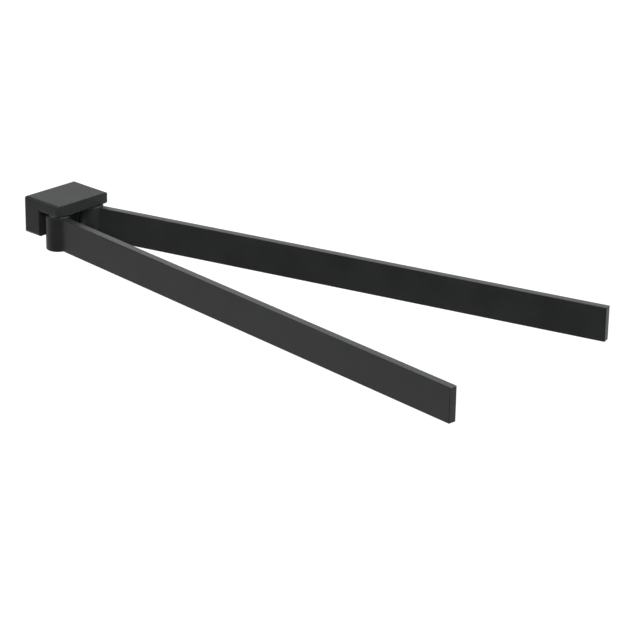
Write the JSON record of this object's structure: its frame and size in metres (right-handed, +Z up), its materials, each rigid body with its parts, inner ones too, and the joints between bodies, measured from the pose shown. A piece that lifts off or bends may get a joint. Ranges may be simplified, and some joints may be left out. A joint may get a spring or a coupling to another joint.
{
  "type": "adjustable towel holder",
  "caption": "Wall-mounted towel holder: flat bars on edge swing on upright pivots under an L-shaped bracket, in matt black.",
  "frame": {"origin": "middle of the bracket's face on the wall", "axes": "+X to the right along the wall as seen from the room, +Y into the wall, so the arms reach along -Y, +Z up"},
  "size_m": [0.1846, 0.4395, 0.0364],
  "materials": {
    "black_paint": "matt black powder coat",
    "plated_steel": "zinc plated",
    "stainless_steel": "bright turned stainless steel",
    "white_polymer": "natural acetal, smooth",
    "black_plastic": "fine moulded texture"
  },
  "bodies": {
    "bracket": {"bracket": "black_paint", "wall_plate": "plated_steel", "grub_screw": "stainless_steel", "left_pivot_screw": "stainless_steel", "left_thrust_washer": "stainless_steel", "left_friction_washer": "white_polymer", "left_disc_spring": "stainless_steel", "right_pivot_screw": "stainless_steel", "right_thrust_washer": "stainless_steel", "right_friction_washer": "white_polymer", "right_disc_spring": "stainless_steel"},
    "left_arm": {"left_arm": "black_paint", "left_barrel": "black_paint", "left_upper_bush": "white_polymer", "left_lower_bush": "white_polymer", "left_bottom_cap": "black_plastic"},
    "right_arm": {"right_arm": "black_paint", "right_barrel": "black_paint", "right_upper_bush": "white_polymer", "right_lower_bush": "white_polymer", "right_bottom_cap": "black_plastic"}
  },
  "joints": [
    {"name": "left_swing", "type": "hinge", "parent": "bracket", "child": "left_arm", "pos_m": [-0.0168, -0.0268, -0.009], "axis": [0, 0, 1], "range_deg": [-85, 5]},
    {"name": "right_swing", "type": "hinge", "parent": "bracket", "child": "right_arm", "pos_m": [0.0168, -0.0268, -0.009], "axis": [0, 0, 1], "range_deg": [-15.3, 74.7]}
  ]
}
